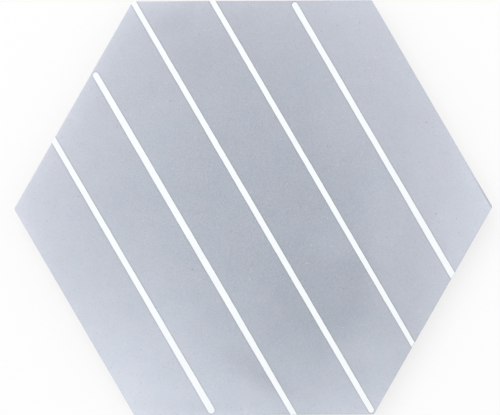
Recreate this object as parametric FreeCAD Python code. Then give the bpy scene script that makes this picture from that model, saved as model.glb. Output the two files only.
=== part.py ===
import FreeCAD, Part

import math
import os

# A hexagon cement floor tile, in millimetres, lying on its back with two corners on the X axis.
across_flats = 200.0     # from one side to the opposite side
thickness = 16.0         # from the bedding side to the face
corner_radius = 0.8      # the six upright corners, as the mould leaves them
face_arris = 0.5         # broken edge round the face
back_arris = 1.0         # broken edge round the bedding side

# White cement stripes, poured flush into the face and parallel to one corner-to-corner diagonal.
inlay_depth = 3.5        # how far the coloured cement goes down
stripe_turn = 120.0      # degrees from +X to the stripes
edge_gap = 0.9           # grey left between a closed end and the edge of the tile

# Each stripe's width at its start, middle and end, and whether grey cement closes its two ends.
stripes = (
    (3.1, 2.7, 2.8, False, True),
    (2.3, 2.6, 2.5, False, False),
    (2.6, 2.8, 2.5, True, False),
    (2.6, 3.2, 2.8, False, True),
    (3.3, 2.8, 2.7, True, False),
)

corner_count = 6
corner_angle = 360.0 / corner_count
side_length = across_flats / 2 / math.cos(math.radians(corner_angle / 2))
stripe_spacing = across_flats / (len(stripes) + 1)
slant = math.radians(corner_angle)     # between a stripe and the sides that it runs into


def hexagon_block():
    """The whole tile as it leaves the mould, before any stripe is let into it."""
    corners = []
    for number in range(corner_count + 1):
        angle = math.radians(number * corner_angle)
        corners.append(FreeCAD.Vector(side_length * math.cos(angle), side_length * math.sin(angle), 0))
    outline = Part.Face(Part.makePolygon(corners))
    sharp = outline.extrude(FreeCAD.Vector(0, 0, thickness))
    uprights = [edge for edge in sharp.Edges if edge.BoundBox.ZLength > thickness / 2]
    rounded = sharp.makeFillet(corner_radius, uprights)
    broken = sharp.makeChamfer(face_arris, edges_at(sharp, thickness))
    broken = broken.makeChamfer(back_arris, edges_at(broken, 0))
    return rounded.common(broken)


def edges_at(solid, height):
    """The edges that lie flat at one height."""
    near = thickness / 100
    found = []
    for edge in solid.Edges:
        box = edge.BoundBox
        if abs(box.ZMin - height) < near and abs(box.ZMax - height) < near:
            found.append(edge)
    return found


def end_place(offset, width, closed):
    """How far from a stripe's middle its round end is centred."""
    to_edge = side_length - abs(offset) / math.tan(slant)
    if closed:
        return to_edge - (width / 2 + edge_gap) / math.sin(slant)
    return to_edge + width


def stripe_mould(number):
    """One stripe as the divider shapes it, standing higher than the face and past any open end."""
    start_width, middle_width, end_width, start_closed, end_closed = stripes[number]
    offset = (number - (len(stripes) - 1) / 2) * stripe_spacing
    start = -end_place(offset, start_width, start_closed)
    end = end_place(offset, end_width, end_closed)
    floor = thickness - inlay_depth

    def point(along, across):
        return FreeCAD.Vector(along, offset + across, floor)

    def flank(side):
        curve = Part.BSplineCurve()
        curve.interpolate([
            point(start, side * start_width / 2),
            point((start + end) / 2, side * middle_width / 2),
            point(end, side * end_width / 2),
        ])
        return curve.toShape()

    def round_end(place, width, way):
        arc = Part.Arc(point(place, width / 2), point(place + way * width / 2, 0), point(place, -width / 2))
        return arc.toShape()

    edges = [flank(1), round_end(end, end_width, 1), flank(-1), round_end(start, start_width, -1)]
    outline = Part.Face(Part.Wire(Part.__sortEdges__(edges)))
    mould = outline.extrude(FreeCAD.Vector(0, 0, 2 * inlay_depth))
    mould.rotate(FreeCAD.Vector(0, 0, 0), FreeCAD.Vector(0, 0, 1), stripe_turn)
    return mould


def export(name, shape):
    """Write one piece, after a check that it is a single sound solid."""
    if len(shape.Solids) != 1 or not shape.isValid():
        raise ValueError(name + " is not one sound solid")
    piece = shape.Solids[0]
    piece.exportStep("parts/" + name + ".step")
    print(name, round(piece.Volume / 1000, 3), "cm3", len(piece.Faces), "faces")


os.makedirs("parts", exist_ok=True)
block = hexagon_block()
moulds = [stripe_mould(number) for number in range(len(stripes))]
export("tile_body", block.cut(moulds))
for number, mould in enumerate(moulds):
    export("white_stripe_" + str(number + 1), block.common(mould))
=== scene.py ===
import math

import bmesh
import bpy
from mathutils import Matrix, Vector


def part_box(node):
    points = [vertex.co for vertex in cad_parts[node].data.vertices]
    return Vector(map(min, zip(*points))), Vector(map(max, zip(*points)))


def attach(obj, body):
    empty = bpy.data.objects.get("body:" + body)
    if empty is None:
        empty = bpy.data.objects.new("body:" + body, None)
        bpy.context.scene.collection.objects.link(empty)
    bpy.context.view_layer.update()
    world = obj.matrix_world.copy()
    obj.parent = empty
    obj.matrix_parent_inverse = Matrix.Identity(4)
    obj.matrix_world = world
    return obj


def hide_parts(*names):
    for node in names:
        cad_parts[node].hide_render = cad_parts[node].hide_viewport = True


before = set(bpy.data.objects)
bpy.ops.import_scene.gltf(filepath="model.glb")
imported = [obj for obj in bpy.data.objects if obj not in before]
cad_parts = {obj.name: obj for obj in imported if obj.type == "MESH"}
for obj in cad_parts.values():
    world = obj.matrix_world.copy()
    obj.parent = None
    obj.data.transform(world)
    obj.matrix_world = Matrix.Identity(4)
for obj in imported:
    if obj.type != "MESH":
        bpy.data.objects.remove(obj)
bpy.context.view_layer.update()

# The tile as it comes from the press, before its stripes are told apart: one hexagonal block of
# cement, pushed together face down in a steel mould that leaves small broken edges. Three rhombi of
# even cells make the hexagon, and its walls rise from it row by row.
mm = 0.001
tile_low, tile_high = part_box("tile_body")
thickness = tile_high.z
across_flats = tile_high.y - tile_low.y
side_length = across_flats / math.sqrt(3)
sixth_turn = math.radians(60)
sharp_edge = math.radians(30)
cells_per_side = 108
wall_rows = 14
face_arris = 0.5 * mm
upright_round = 0.8 * mm
back_arris = 1.0 * mm
pigment_depth = 3.5 * mm


class Socket:
    """One output of a node. Arithmetic on it adds Math nodes to the same tree."""

    def __init__(self, nodes, node, output=0):
        self.nodes = nodes
        self.node = node
        self.output = output

    def also(self, output):
        """Another output of the same node."""
        return Socket(self.nodes, self.node, output)

    def math(self, operation, *values):
        """A Math node on these values."""
        return self.nodes.add("ShaderNodeMath", {"operation": operation}, dict(enumerate(values)))

    def __add__(self, other):
        return self.math("ADD", self, other)

    def __radd__(self, other):
        return self.math("ADD", other, self)

    def __sub__(self, other):
        return self.math("SUBTRACT", self, other)

    def __rsub__(self, other):
        return self.math("SUBTRACT", other, self)

    def __mul__(self, other):
        return self.math("MULTIPLY", self, other)

    def __rmul__(self, other):
        return self.math("MULTIPLY", other, self)

    def __truediv__(self, other):
        return self.math("DIVIDE", self, other)

    def __rtruediv__(self, other):
        return self.math("DIVIDE", other, self)

    def __pow__(self, other):
        return self.math("POWER", self, other)

    def __rpow__(self, other):
        return self.math("POWER", other, self)

    def __neg__(self):
        return self.math("MULTIPLY", self, -1.0)

    def __gt__(self, other):
        return self.math("GREATER_THAN", self, other)

    def __lt__(self, other):
        return self.math("LESS_THAN", self, other)

    def larger(self, other):
        return self.math("MAXIMUM", self, other)

    def absolute(self):
        return self.math("ABSOLUTE", self)

    def floor(self):
        return self.math("FLOOR", self)

    def exp(self):
        return self.math("EXPONENT", self)

    def sin(self):
        return self.math("SINE", self)

    def cos(self):
        return self.math("COSINE", self)

    def rise(self, start, end, way="SMOOTHSTEP"):
        """0 below start, 1 above end, and a smooth or a straight rise between."""
        inputs = {"Value": self, "From Min": start, "From Max": end}
        return self.nodes.add("ShaderNodeMapRange", {"interpolation_type": way}, inputs)


class Nodes:
    """A shader or geometry tree that is filled one node at a time."""

    def __init__(self, tree):
        self.tree = tree

    def add(self, kind, settings=None, inputs=None, output=0):
        """A new node: its settings are made first, and then its sockets get their values or links."""
        node = self.tree.nodes.new(kind)
        for name, value in (settings or {}).items():
            setattr(node, name, value)
        self.feed(node, inputs or {})
        return Socket(self, node, output)

    def feed(self, node, inputs):
        """Give a node's sockets their values or links. A list links one socket more than once."""
        for key, value in inputs.items():
            for source in value if isinstance(value, list) else [value]:
                if isinstance(source, Socket):
                    self.tree.links.new(source.node.outputs[source.output], node.inputs[key])
                else:
                    node.inputs[key].default_value = source

    def parts(self, vector):
        """The x, y and z of a vector."""
        split = self.add("ShaderNodeSeparateXYZ", inputs={0: vector})
        return [split.also(axis) for axis in "XYZ"]

    def vector(self, x, y, z):
        """A vector with these three parts."""
        return self.add("ShaderNodeCombineXYZ", inputs={0: x, 1: y, 2: z})

    def noise(self, where, size, seed, detail=2.0, roughness=0.5):
        """Smooth noise from 0 to 1 whose lumps are about this size, in metres."""
        inputs = {"Vector": where, "W": seed, "Scale": 1 / size, "Detail": detail, "Roughness": roughness}
        return self.add("ShaderNodeTexNoise", {"noise_dimensions": "4D"}, inputs)


def geometry_tree(name, takes):
    """A Geometry Nodes tree with a geometry in and out, and one named input for each thing it takes."""
    tree = bpy.data.node_groups.new(name, "GeometryNodeTree")
    tree.interface.new_socket("Geometry", in_out="OUTPUT", socket_type="NodeSocketGeometry")
    takes = {"Geometry": "Geometry", **takes}
    for label, kind in takes.items():
        tree.interface.new_socket(label, in_out="INPUT", socket_type="NodeSocket" + kind)
    nodes = Nodes(tree)
    group_input = nodes.add("NodeGroupInput")
    return nodes, {label: group_input.also(label) for label in takes}


def end_tree(nodes, geometry, material):
    """Close a tree: instances made real, one material, and the result handed out."""
    real = nodes.add("GeometryNodeRealizeInstances", inputs={"Geometry": geometry})
    coated = nodes.add("GeometryNodeSetMaterial", inputs={"Geometry": real, "Material": material})
    nodes.add("NodeGroupOutput", inputs={"Geometry": coated})
    return nodes.tree


def give_tree(piece, tree, values):
    """Add a tree to a piece as a modifier, each input set by its socket's identifier."""
    modifier = piece.modifiers.new(tree.name, "NODES")
    modifier.node_group = tree
    for item in tree.interface.items_tree:
        if item.item_type == "SOCKET" and item.in_out == "INPUT" and item.name in values:
            modifier[item.identifier] = values[item.name]


def raised(nodes, sheet, height, rows, gap):
    """A closed body that rises from a flat sheet, with this many rows of cells up its walls."""
    zone_start = nodes.add("GeometryNodeRepeatInput")
    zone_end = nodes.add("GeometryNodeRepeatOutput")
    zone_start.node.pair_with_output(zone_end.node)
    zone_end.node.repeat_items.new("BOOLEAN", "Top")
    nodes.feed(zone_start.node, {"Iterations": rows, "Geometry": sheet, "Top": True})
    grown = nodes.add("GeometryNodeExtrudeMesh", {"mode": "FACES"}, {
        "Mesh": zone_start.also("Geometry"),
        "Selection": zone_start.also("Top"),
        "Offset": nodes.vector(0.0, 0.0, height / rows),
        "Individual": False,
    })
    nodes.feed(zone_end.node, {"Geometry": grown, "Top": grown.also("Top")})
    bottom = nodes.add("GeometryNodeFlipFaces", inputs={"Mesh": sheet})
    loose = nodes.add("GeometryNodeJoinGeometry", inputs={"Geometry": [bottom, zone_end.also("Geometry")]})
    return nodes.add("GeometryNodeMergeByDistance", inputs={"Geometry": loose, "Distance": gap})


def pressed_block_tree():
    """A hexagonal block of even cells, closed all round, whose sharp edges carry bevel weights."""
    nodes, taken = geometry_tree("pressed_block", {
        "Across flats": "Float", "Thickness": "Float", "Cells": "Int", "Wall rows": "Int",
        "Face arris": "Float", "Upright round": "Float", "Back arris": "Float", "Material": "Material"})
    side = taken["Across flats"] / math.sqrt(3)
    lines = taken["Cells"] + 1
    grid = nodes.add("GeometryNodeMeshGrid", inputs={
        "Size X": side, "Size Y": side, "Vertices X": lines, "Vertices Y": lines})
    x, y, _ = nodes.parts(nodes.add("GeometryNodeInputPosition"))
    along = x + side / 2
    up = y + side / 2
    third_turn = 2 * sixth_turn
    leaning = nodes.vector(along + up * math.cos(third_turn), up * math.sin(third_turn), 0.0)
    rhombus = nodes.add("GeometryNodeSetPosition", inputs={"Geometry": grid, "Position": leaning})

    centres = nodes.add("GeometryNodePoints", inputs={"Count": 3})
    turn = nodes.vector(0.0, 0.0, nodes.add("GeometryNodeInputIndex") * third_turn)
    rhombi = nodes.add("GeometryNodeInstanceOnPoints", inputs={
        "Points": centres, "Instance": rhombus, "Rotation": turn})
    loose = nodes.add("GeometryNodeRealizeInstances", inputs={"Geometry": rhombi})
    gap = taken["Face arris"] / 8
    sheet = nodes.add("GeometryNodeMergeByDistance", inputs={"Geometry": loose, "Distance": gap})
    closed = raised(nodes, sheet, taken["Thickness"], taken["Wall rows"], gap)

    _, _, z = nodes.parts(nodes.add("GeometryNodeInputPosition"))
    sharp = nodes.add("GeometryNodeInputMeshEdgeAngle") > sharp_edge
    at_face = z > taken["Thickness"] - gap
    at_back = z < gap
    upright = 1.0 - at_face - at_back
    width = at_face * taken["Face arris"] + at_back * taken["Back arris"] + upright * taken["Upright round"]
    weighted = nodes.add("GeometryNodeStoreNamedAttribute", {"data_type": "FLOAT", "domain": "EDGE"}, {
        "Geometry": closed, "Name": "bevel_weight_edge", "Value": sharp * width / taken["Back arris"]})
    return end_tree(nodes, weighted, taken["Material"])


def hand_finish_tree():
    """Presses the surfaces in a little: a soft swell on the face, chips, bowed sides, coarse mortar."""
    nodes, taken = geometry_tree("hand_finish", {
        "Thickness": "Float", "Pigment depth": "Float", "Face swell": "Float", "Side waver": "Float",
        "Mortar roughness": "Float", "Chips": "Float", "Seed": "Float", "Material": "Material"})
    place = nodes.add("GeometryNodeInputPosition")
    normal = nodes.add("GeometryNodeInputNormal")
    _, _, z = nodes.parts(place)
    _, _, facing = nodes.parts(normal)
    seed = taken["Seed"]

    on_face = facing.rise(0.9, 1.0)
    wide_swell = nodes.noise(place, 30 * mm, seed, detail=1.0)
    small_swell = nodes.noise(place, 5 * mm, seed + 1, detail=1.0)
    swell = wide_swell * 0.75 + small_swell * 0.25

    pigment_line = taken["Thickness"] - taken["Pigment depth"]
    in_mortar = 1.0 - z.rise(pigment_line - 1.0 * mm, pigment_line)
    large_lumps = nodes.noise(place, 7 * mm, seed + 2, roughness=0.7)
    small_lumps = nodes.noise(place, 2.2 * mm, seed + 3)
    holes = nodes.noise(place, 3 * mm, seed + 6, detail=1.0).rise(0.66, 0.74)
    coarseness = large_lumps * 0.4 + small_lumps * 0.3 + holes * 0.8

    on_arris = facing.rise(0.15, 0.5) * (1.0 - facing.rise(0.9, 0.98))
    chips = nodes.noise(place, 4 * mm, seed + 4, roughness=0.6).rise(0.58, 0.72)
    on_side = 1.0 - facing.absolute().rise(0.2, 0.6)
    bow = nodes.noise(place, 24 * mm, seed + 5, detail=1.0)
    depth = (on_face * swell * taken["Face swell"]
             + in_mortar * coarseness * taken["Mortar roughness"]
             + on_arris * chips * taken["Chips"]
             + on_side * bow * taken["Side waver"])
    inwards = nodes.add("ShaderNodeVectorMath", {"operation": "SCALE"}, {0: normal, "Scale": -depth})
    worked = nodes.add("GeometryNodeSetPosition", inputs={"Geometry": taken["Geometry"], "Offset": inwards})
    return end_tree(nodes, worked, taken["Material"])


def linear(red, green, blue):
    """A colour as it is read off a screen, from 0 to 255, in the renderer's own values."""
    values = []
    for level in (red, green, blue):
        share = level / 255
        values.append(share / 12.92 if share <= 0.04045 else ((share + 0.055) / 1.055) ** 2.4)
    return (*values, 1.0)


def blend_colours(nodes, factor, first, second, way="MIX"):
    """One colour laid over another. A Mix node has its colours at inputs 6 and 7 and at output 2."""
    return nodes.add("ShaderNodeMix", {"data_type": "RGBA", "blend_type": way},
                     {0: factor, 6: first, 7: second}, output=2)


def new_material(name):
    """An empty material, and the nodes it is filled with."""
    material = bpy.data.materials.new(name)
    material.use_nodes = True
    material.node_tree.nodes.clear()
    return material, Nodes(material.node_tree)


def matt_surface(nodes, looks, height):
    """Close a material with one shader of these looks and a fine relief."""
    bump = nodes.add("ShaderNodeBump", inputs={"Strength": 0.8, "Distance": 0.25 * mm, "Height": height})
    shader = nodes.add("ShaderNodeBsdfPrincipled", inputs={
        **looks, "Specular IOR Level": 0.35, "Normal": bump})
    nodes.add("ShaderNodeOutputMaterial", inputs={"Surface": shader})


# The grey of the face. Its cement is poured into the divider's compartments one by one, so each pour has
# its own faint tone. It stays darker where it dried last, mostly in the middle, and is rubbed paler along
# the sides. Along the upper left sides, towards the lamp, it also has a band of painted light. Tone 0 is
# the damp grey and tone 1 the dry grey.
stripe_names = sorted(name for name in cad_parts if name.startswith("white_stripe"))
stripe_spacing = across_flats / (len(stripe_names) + 1)
stripe_turn = 2 * sixth_turn
damp_grey = linear(171, 177, 188)
dry_grey = linear(216, 222, 233)
stain_grey = linear(120, 125, 136)
pale_sand = linear(226, 230, 236)
dark_sand_and_pit_shade = linear(120, 124, 132)
greenish_tinge = (0.994, 1.004, 1.002, 1.0)
reddish_tinge = (1.016, 0.988, 0.995, 1.0)
middle_tone = 0.12
paler_outwards = 0.71
paler_below = 0.30
cloud_strength = 0.16
painted_glow_strength = 0.20
painted_glow_reach = 3.5 * mm
rubbed_strength = 0.12
rubbed_reach = 8 * mm
pour_strength = 0.08
pour_seed = 73.5
pale_speck_strength = 0.23
pit_shade_strength = 0.44
pepper_strength = 0.14
grain_strength = 0.69
grain_lost_where_pale = 0.24
grain_lost_outwards = 0.34

# Soft spots in the grey: the middle's x and y, the reach along and across in millimetres, the turn in
# degrees, and how much paler. Those below zero dried last and are darker, except the thin one along the
# upper right side by the right corner, which is painted shade along that edge. The others were rubbed.
spots = (
    (40, -66, 42, 42, 0, -0.52),
    (5, -82, 13, 4, -33, -0.22),
    (31, -41, 9, 6, 0, -0.29),
    (49, -31, 6, 4, 20, -0.11),
    (70, -66, 22, 9, 115, -0.08),
    (-39, 90, 7, 4, 0, -0.10),
    (-25, 73, 13, 10, -40, -0.08),
    (-30, -96, 22, 3, 0, -0.12),
    (20, -100, 9, 2, 0, -0.12),
    (-84, -34, 17, 10, -60, -0.09),
    (-67, 0, 10, 12, 0, -0.06),
    # Painted shade: a thin dark line just inside the upper right side, next to the right corner.
    (113.4, 2.8, 9, 0.3, 120, -0.75),
    (52, -68, 10, 8, 0, 0.13),
    (1, -44, 10, 8, 0, 0.07),
    (61, -22, 7, 30, 0, 0.13),
    (36, -18, 9, 8, 0, 0.13),
    (8, -14, 7, 14, 20, 0.05),
    (45, 47, 10, 12, 0, 0.06),
    (-45, -61, 15, 10, 20, 0.06),
    (-72, -58, 24, 8, 120, 0.05),
    (-38, 38, 20, 14, 0, 0.035),
    (-85, 49, 14, 6, 60, 0.07),
    (-54, 96, 8, 5, 0, 0.09),
    (-12, 99, 14, 3, 0, 0.06),
    (102.8, 18, 12, 2, 120, 0.07),
    (-24, -100, 15, 0.6, 0, 0.12),
)


def soft_spot(x, y, middle_x, middle_y, along, across, degrees):
    """1 at the middle of an oval and less and less away from it."""
    turn = math.radians(degrees)
    off_x = x - middle_x * mm
    off_y = y - middle_y * mm
    on_long = (off_x * math.cos(turn) + off_y * math.sin(turn)) / (along * mm)
    on_short = (off_y * math.cos(turn) - off_x * math.sin(turn)) / (across * mm)
    return ((on_long * on_long + on_short * on_short) * -0.5).exp()


def inside_sides(x, y):
    """How far a place on the face is from the nearest side of the tile."""
    lean = sixth_turn / 2
    rising = x * math.cos(lean) + y * math.sin(lean)
    falling = x * math.cos(lean) - y * math.sin(lean)
    return across_flats / 2 - y.absolute().larger(rising.absolute()).larger(falling.absolute())


def dried_tone(nodes, place, x, y):
    """The tone of the grey at a place on the face."""
    outwards = (x * x + y * y) / side_length ** 2
    tone = middle_tone + outwards * paler_outwards - y / side_length * paler_below
    for *oval, strength in spots:
        tone = tone + soft_spot(x, y, *oval) * strength
    wide_clouds = nodes.noise(place, 30 * mm, seed=3.0, detail=3.0, roughness=0.55) - 0.5
    small_clouds = nodes.noise(place, 7 * mm, seed=5.0, detail=3.0, roughness=0.6) - 0.5
    tone = tone + wide_clouds * cloud_strength + small_clouds * cloud_strength

    inside = inside_sides(x, y)
    upper_left = (y * math.cos(sixth_turn) - x * math.sin(sixth_turn)) / (across_flats / 2)
    # Painted light: the face is paler within a few millimetres of its upper left sides, the sides towards
    # the lamp.
    painted_glow = (inside / -painted_glow_reach).exp() * upper_left.rise(0.7, 0.98)
    scuffs = nodes.noise(place, 5 * mm, seed=6.0, detail=3.0, roughness=0.65).rise(0.52, 0.72)
    rubbed = (1.0 - inside.rise(1.0 * mm, rubbed_reach)) * scuffs
    across = y * math.cos(stripe_turn) - x * math.sin(stripe_turn)
    compartment = ((across + across_flats / 2) / stripe_spacing).floor()
    pour = nodes.add("ShaderNodeTexWhiteNoise", {"noise_dimensions": "1D"}, {"W": compartment + pour_seed})
    return tone + painted_glow * painted_glow_strength + rubbed * rubbed_strength + (pour - 0.5) * pour_strength


def tinge(nodes, place, x, y):
    """A very slight cast, greenish in the middle and reddish outwards and in patches."""
    patches = nodes.noise(place, 14 * mm, seed=15.0, detail=3.0, roughness=0.6).rise(0.35, 0.65, "LINEAR")
    outwards = (x * x + y * y * 0.6) / side_length ** 2
    reddish = 0.25 + outwards * 0.7 + y / side_length * 0.3 + (patches - 0.5) * 0.7
    return blend_colours(nodes, reddish, greenish_tinge, reddish_tinge)


def cloudy_grey(nodes, place):
    """The colour of the grey face, and the grain and the pits that its relief follows."""
    x, y, _ = nodes.parts(place)
    tone = dried_tone(nodes, place, x, y)
    grey = blend_colours(nodes, tone, damp_grey, dry_grey)
    grey = blend_colours(nodes, 1.0, grey, tinge(nodes, place, x, y), "MULTIPLY")

    from_white = nodes.add("ShaderNodeAttribute", {"attribute_name": "from_white"}, output="Fac")
    stain = 0.08 + nodes.noise(place, 6 * mm, seed=11.0) * 0.24
    beside_stripe = 1.0 - from_white.rise(0.3 * mm, 0.9 * mm)
    grey = blend_colours(nodes, beside_stripe * stain, grey, stain_grey)

    speck = nodes.noise(place, 1.3 * mm, seed=9.0, detail=1.0)
    pale_specks = speck.rise(0.68, 0.77)
    pits = 1.0 - speck.rise(0.19, 0.25)
    pepper = nodes.noise(place, 0.7 * mm, seed=13.0, detail=0.0).rise(0.70, 0.78)
    grey = blend_colours(nodes, pale_specks * pale_speck_strength, grey, pale_sand)
    # Painted shade: the pits are darkened as if shade lay in their hollows. The pepper below is real dark
    # sand.
    grey = blend_colours(nodes, pits * pit_shade_strength, grey, dark_sand_and_pit_shade)
    grey = blend_colours(nodes, pepper * pepper_strength, grey, dark_sand_and_pit_shade)

    grain = nodes.noise(place, 0.42 * mm, seed=7.0, detail=1.0, roughness=0.6)
    from_middle = (x * x + y * y) ** 0.5 / side_length
    strength = grain_strength - tone * grain_lost_where_pale - from_middle * grain_lost_outwards
    shade = 1.0 + (grain - 0.5) * strength
    tint = nodes.add("ShaderNodeCombineColor", inputs={0: shade, 1: shade, 2: shade})
    return blend_colours(nodes, 1.0, grey, tint, "MULTIPLY"), grain, pits


# The mortar behind the grey: grey cement paste and washed sand, damp when it is filled in, so that it is
# coarse and full of small air voids. It shows on the sides and the back, below a ragged pigment line.
dark_paste = linear(144, 142, 137)
pale_paste = linear(160, 157, 151)
fine_sand = (linear(110, 107, 101), linear(192, 189, 181))
coarse_sand = (linear(100, 97, 90), linear(200, 196, 186))
void_shadow = linear(74, 72, 68)
sand_share = 0.38
long_rags = 2.2 * mm
short_rags = 0.9 * mm
pigment_blur = 0.2 * mm


def cut_grains(nodes, place, size, reach):
    """Rounded grains cut through at the surface: 1 inside a grain, and a chance tone for each."""
    away = nodes.add("ShaderNodeTexVoronoi", inputs={"Vector": place, "Scale": 1 / size})
    tone, swell, _ = nodes.parts(away.also("Color"))
    worn = nodes.noise(place, size / 3, seed=41.0, detail=1.0) * 0.3
    return (reach + swell * 0.3 - worn - away).rise(0.0, 0.12), tone


def sand_mortar(nodes, place):
    """Cement paste with fine and coarse sand and small air voids, and how far each stands out."""
    patches = nodes.noise(place, 22 * mm, seed=23.0, detail=4.0, roughness=0.65).rise(0.35, 0.65)
    fine, fine_tone = cut_grains(nodes, place, 0.45 * mm, 0.50)
    coarse, coarse_tone = cut_grains(nodes, place, 1.0 * mm, 0.40)
    voids, _ = cut_grains(nodes, place, 2.2 * mm, 0.06)
    mortar = blend_colours(nodes, patches, dark_paste, pale_paste)
    for grains, tone, sand in ((fine, fine_tone, fine_sand), (coarse, coarse_tone, coarse_sand)):
        mortar = blend_colours(nodes, grains * sand_share, mortar, blend_colours(nodes, tone, *sand))
    mortar = blend_colours(nodes, voids * 0.6, mortar, void_shadow)
    rough = nodes.noise(place, 0.9 * mm, seed=21.0, detail=3.0, roughness=0.7)
    relief = rough * 3.5 + coarse * 0.6 + fine * 0.4 - voids * 1.5
    return mortar, relief


def grey_cement():
    """Pigmented cement on the face and down to the pigment's depth, bare sand mortar below it."""
    material, nodes = new_material("grey_cement")
    place = nodes.add("ShaderNodeTexCoord", output="Object")
    _, _, z = nodes.parts(place)
    face_colour, grain, pits = cloudy_grey(nodes, place)
    mortar, relief = sand_mortar(nodes, place)
    long_ragged = nodes.noise(place, 9 * mm, seed=25.0, detail=4.0, roughness=0.6) * long_rags
    short_ragged = nodes.noise(place, 1.5 * mm, seed=27.0) * short_rags
    line = thickness - pigment_depth + (long_rags + short_rags) / 2
    coloured = (z + long_ragged + short_ragged).rise(line - pigment_blur, line + pigment_blur)
    matt_surface(nodes, {
        "Base Color": blend_colours(nodes, coloured, mortar, face_colour),
        "Roughness": 0.92 - coloured * (0.30 - grain * 0.08),
    }, height=grain * 0.05 - pits * coloured * 0.5 + relief * (1.0 - coloured))
    return material


def new_piece(name):
    """An empty object for a tree to fill."""
    piece = bpy.data.objects.new(name, bpy.data.meshes.new(name))
    bpy.context.scene.collection.objects.link(piece)
    return piece


def plain_mesh(piece, name):
    """A new object with the piece's finished mesh, and no modifiers."""
    graph = bpy.context.evaluated_depsgraph_get()
    mesh = bpy.data.meshes.new_from_object(piece.evaluated_get(graph), depsgraph=graph)
    mesh.name = name
    made = bpy.data.objects.new(name, mesh)
    bpy.context.scene.collection.objects.link(made)
    return made


grey = grey_cement()
blank = new_piece("blank")
give_tree(blank, pressed_block_tree(), {
    "Across flats": across_flats, "Thickness": thickness, "Cells": cells_per_side, "Wall rows": wall_rows,
    "Face arris": face_arris, "Upright round": upright_round, "Back arris": back_arris, "Material": grey})
broken_edges = blank.modifiers.new("broken edges", "BEVEL")
broken_edges.limit_method = "WEIGHT"
broken_edges.width = back_arris
broken_edges.segments = 3
give_tree(blank, hand_finish_tree(), {
    "Thickness": thickness, "Pigment depth": pigment_depth, "Face swell": 0.05 * mm, "Side waver": 0.12 * mm,
    "Mortar roughness": 0.5 * mm, "Chips": 0.4 * mm, "Seed": 11.0, "Material": grey})
block = plain_mesh(blank, "block")
bpy.data.objects.remove(blank)

# The white stripes: white cement poured through a brass divider into the face while the tile is made,
# so that each fills its own channel and is pressed flush with the grey. An end is round and stops short
# of the tile's edge, or it runs out there, and both long edges waver a little, as hand work does.
edge_gap = 0.9 * mm
edge_waver = 0.14 * mm
long_waver = 17 * mm
short_waver = 4 * mm

# The width of each stripe at its start, middle and end in millimetres, and which of its ends are round.
stripe_widths = ((3.1, 2.7, 2.8), (2.3, 2.6, 2.5), (2.6, 2.8, 2.5), (2.6, 3.2, 2.8), (3.3, 2.8, 2.7))
stripe_closed = ((False, True), (False, False), (True, False), (False, True), (True, False))


def stripe_mould_tree():
    """A ribbon with two round ends and wavering edges, raised from the channel's floor past the face."""
    nodes, taken = geometry_tree("stripe_mould", {
        "Start": "Float", "End": "Float", "Offset": "Float", "Turn": "Float", "Start width": "Float",
        "Middle width": "Float", "End width": "Float", "Waver": "Float", "Seed": "Float", "Steps": "Int",
        "Round steps": "Int", "Floor": "Float", "Height": "Float", "Material": "Material"})
    steps, round_steps = taken["Steps"], taken["Round steps"]
    columns = steps + round_steps * 2
    strip = nodes.add("GeometryNodeMeshGrid", inputs={
        "Size X": 1.0, "Size Y": 2.0, "Vertices X": columns + 1, "Vertices Y": 2})
    x, edge, _ = nodes.parts(nodes.add("GeometryNodeInputPosition"))
    column = (x + 0.5) * columns
    share = column.rise(round_steps, round_steps + steps, "LINEAR")
    quarter_turn = math.radians(90)
    start_turn = (1.0 - column.rise(0.0, round_steps, "LINEAR")) * quarter_turn
    end_turn = column.rise(round_steps + steps, columns, "LINEAR") * quarter_turn

    width = (taken["Start width"] * (1.0 - share) * (1.0 - share * 2)
             + taken["Middle width"] * share * (1.0 - share) * 4
             + taken["End width"] * share * (share * 2 - 1.0))
    along = (taken["Start"] + (taken["End"] - taken["Start"]) * share
             + end_turn.sin() * width / 2 - start_turn.sin() * width / 2)
    apart = 40 * mm  # the noise is read this far to each side, so that each edge wavers by itself
    beside = nodes.vector(along, edge * apart, 0.0)
    long_bends = nodes.noise(beside, long_waver, taken["Seed"], detail=1.0) - 0.5
    short_bends = nodes.noise(beside, short_waver, taken["Seed"] + 0.5) - 0.5
    bends = (long_bends + short_bends) * taken["Waver"] * 2
    across = taken["Offset"] + (edge * width / 2 + bends) * start_turn.cos() * end_turn.cos()
    laid = nodes.add("ShaderNodeVectorRotate", {"rotation_type": "Z_AXIS"}, {
        "Vector": nodes.vector(along, across, taken["Floor"]), "Angle": taken["Turn"]})
    shaped = nodes.add("GeometryNodeSetPosition", inputs={"Geometry": strip, "Position": laid})
    gap = taken["Middle width"] / 300
    sheet = nodes.add("GeometryNodeMergeByDistance", inputs={"Geometry": shaped, "Distance": gap})
    return end_tree(nodes, raised(nodes, sheet, taken["Height"], 1, gap), taken["Material"])


def round_middle(offset, width, closed):
    """How far from a stripe's middle its round end is centred."""
    to_edge = side_length - abs(offset) / math.tan(sixth_turn)
    if closed:
        return to_edge - (width / 2 + edge_gap) / math.sin(sixth_turn)
    return to_edge + width


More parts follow.
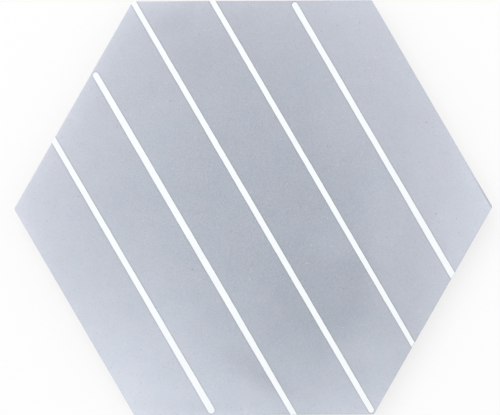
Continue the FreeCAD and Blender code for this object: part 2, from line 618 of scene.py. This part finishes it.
def stripe_mould(number, tree):
    """One stripe as the divider shapes it."""
    start_width, middle_width, end_width = [width * mm for width in stripe_widths[number]]
    start_closed, end_closed = stripe_closed[number]
    offset = (number - (len(stripe_names) - 1) / 2) * stripe_spacing
    start = -round_middle(offset, start_width, start_closed)
    end = round_middle(offset, end_width, end_closed)
    ribbon = new_piece("ribbon")
    give_tree(ribbon, tree, {
        "Start": start, "End": end, "Offset": offset, "Turn": stripe_turn, "Start width": start_width,
        "Middle width": middle_width, "End width": end_width, "Waver": edge_waver, "Seed": 3.0 * number,
        "Steps": round((end - start) / mm), "Round steps": 6, "Floor": thickness - pigment_depth,
        "Height": pigment_depth * 2, "Material": white})
    mould = plain_mesh(ribbon, "mould")
    bpy.data.objects.remove(ribbon)
    return mould


def cut(piece, tool, operation, name):
    """The piece without the tool's volume, or only what lies inside it."""
    modifier = piece.modifiers.new("cut", "BOOLEAN")
    modifier.solver = "MANIFOLD"
    modifier.operation = operation
    modifier.object = tool
    made = plain_mesh(piece, name)
    piece.modifiers.remove(modifier)
    return made


def leave_out_spare_points(piece):
    """A cut can leave a point on a straight edge between two faces, where neither face needs it."""
    nearly_straight = math.radians(5)
    shell = bmesh.new()
    shell.from_mesh(piece.data)
    spare = [point for point in shell.verts
             if len(point.link_edges) == 2 and point.calc_edge_angle() < nearly_straight]
    bmesh.ops.dissolve_verts(shell, verts=spare)
    shell.to_mesh(piece.data)
    shell.free()


def settle(piece, material, node):
    leave_out_spare_points(piece)
    piece.data.materials.clear()
    piece.data.materials.append(material)
    piece.data.shade_smooth()
    piece.data.set_sharp_from_angle(angle=math.radians(40))
    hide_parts(node)
    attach(piece, "root")


def white_cement():
    """White cement, a little cloudy, with a few fine grey grains."""
    material, nodes = new_material("white_cement")
    place = nodes.add("ShaderNodeTexCoord", output="Object")
    clouds = nodes.noise(place, 8 * mm, seed=33.0, detail=3.0, roughness=0.6).rise(0.35, 0.7)
    grain = nodes.noise(place, 0.9 * mm, seed=31.0, roughness=0.7)
    grey_grains = (1.0 - grain.rise(0.2, 0.32)) * 0.25
    colour = blend_colours(nodes, clouds, linear(246, 250, 252), linear(251, 254, 255))
    colour = blend_colours(nodes, grey_grains, colour, linear(205, 210, 216))
    matt_surface(nodes, {"Base Color": colour, "Roughness": 0.55}, height=grain * 0.06)
    return material


white = white_cement()
mould_tree = stripe_mould_tree()
moulds = [stripe_mould(number, mould_tree) for number in range(len(stripe_names))]
for name, mould in zip(stripe_names, moulds):
    stripe = cut(block, mould, "INTERSECT", "inlaid_" + name)
    settle(stripe, white, name)

# The grey body that is left round the stripes. Its pigment lies a shade darker along each stripe,
# where the divider stood, so every place on it knows how far away the nearest white is.
divider_mesh = bmesh.new()
for mould in moulds:
    divider_mesh.from_mesh(mould.data)
    bpy.data.objects.remove(mould)
divider = new_piece("divider")
divider_mesh.to_mesh(divider.data)
divider_mesh.free()


def distance_tree():
    """Stores each point's distance from the divider."""
    nodes, taken = geometry_tree("distance_from_white", {"Divider": "Object", "Material": "Material"})
    stood = nodes.add("GeometryNodeObjectInfo", inputs={"Object": taken["Divider"]}, output="Geometry")
    away = nodes.add("GeometryNodeProximity", {"target_element": "FACES"}, {0: stood}, output="Distance")
    marked = nodes.add("GeometryNodeStoreNamedAttribute", {"data_type": "FLOAT", "domain": "POINT"}, {
        "Geometry": taken["Geometry"], "Name": "from_white", "Value": away})
    return end_tree(nodes, marked, taken["Material"])


channelled = cut(block, divider, "DIFFERENCE", "channelled")
give_tree(channelled, distance_tree(), {"Divider": divider, "Material": grey})
body = plain_mesh(channelled, "pressed_tile")
settle(body, grey, "tile_body")
for spare in (channelled, divider, block):
    bpy.data.objects.remove(spare)

# The floor that the tile lies on: a plain white sheet, a hair below the tile's back so that the two
# don't share a plane. The camera sees it white, and the tile's own soft shadow stays on it.
floor_size = 4.0
floor_height = -0.05 * mm
floor_colour = (0.97, 0.97, 0.97, 1.0)
pure_white = (1.0, 1.0, 1.0, 1.0)
floor_glow = 0.7


def seen_as_background(nodes):
    """1 for what the camera sees directly, in a reflection or through glass."""
    path = nodes.add("ShaderNodeLightPath", output="Is Camera Ray")
    return path.larger(path.also("Is Glossy Ray")).larger(path.also("Is Transmission Ray"))


def white_floor():
    """Matt white, which partly glows for the camera so that it renders as white as the photo's ground."""
    material, nodes = new_material("white_floor")
    matt = nodes.add("ShaderNodeBsdfPrincipled", inputs={
        "Base Color": floor_colour, "Roughness": 0.9, "Specular IOR Level": 0.2})
    glow = nodes.add("ShaderNodeEmission", inputs={"Color": pure_white, "Strength": 1.0})
    mixed = nodes.add("ShaderNodeMixShader", inputs={
        0: seen_as_background(nodes) * floor_glow, 1: matt, 2: glow})
    nodes.add("ShaderNodeOutputMaterial", inputs={"Surface": mixed})
    return material


def flat_sheet(name, size, height):
    """A square sheet of one face, level, with the tile's centre over its own."""
    half = size / 2
    corners = [(-half, -half, height), (half, -half, height), (half, half, height), (-half, half, height)]
    sheet = new_piece(name)
    sheet.data.from_pydata(corners, [], [(0, 1, 2, 3)])
    return sheet


floor = flat_sheet("floor", floor_size, floor_height)
floor.data.materials.append(white_floor())

# The light: an even white room, and one wide soft lamp high beyond the upper left corner of the picture.
# Together they show a colour about as it is written. The camera sees the room itself as plain white.
room_light = 0.70
world = bpy.data.worlds.new("room")
bpy.context.scene.world = world
world.use_nodes = True
world.node_tree.nodes.clear()
room = Nodes(world.node_tree)
walls = room.add("ShaderNodeBackground", inputs={
    "Color": pure_white, "Strength": room_light + seen_as_background(room) * (1.0 - room_light)})
room.add("ShaderNodeOutputWorld", inputs={"Surface": walls})

lamp_data = bpy.data.lights.new("wide_lamp", "AREA")
lamp_data.shape = "SQUARE"
lamp_data.size = 1.6
lamp_data.energy = 19.5
lamp = bpy.data.objects.new("wide_lamp", lamp_data)
lamp.location = (-0.6, 0.85, 2.0)
lamp.rotation_euler = (-lamp.location).to_track_quat("-Z", "Y").to_euler()
bpy.context.scene.collection.objects.link(lamp)
bpy.context.scene.view_settings.view_transform = "Standard"

# The camera looks straight down with a long lens, turned a quarter of a degree, as the photo is. Its
# height makes the tile as large as in the photo, and its place puts the tile's centre where it is there.
photo_width = 500
photo_height = 415
pixels_per_metre = 2073.2
tile_centre_pixel = (253.2, 207.9)
photo_roll = math.radians(0.27)
camera_data = bpy.data.cameras.new("camera")
camera_data.lens = 100
camera_data.sensor_width = 36
camera = bpy.data.objects.new("camera", camera_data)
view_width = photo_width / pixels_per_metre
camera.location = (
    (photo_width / 2 - tile_centre_pixel[0]) / pixels_per_metre,
    (tile_centre_pixel[1] - photo_height / 2) / pixels_per_metre,
    thickness + view_width * camera_data.lens / camera_data.sensor_width,
)
camera.rotation_euler = (0, 0, -photo_roll)
bpy.context.scene.collection.objects.link(camera)
bpy.context.scene.camera = camera
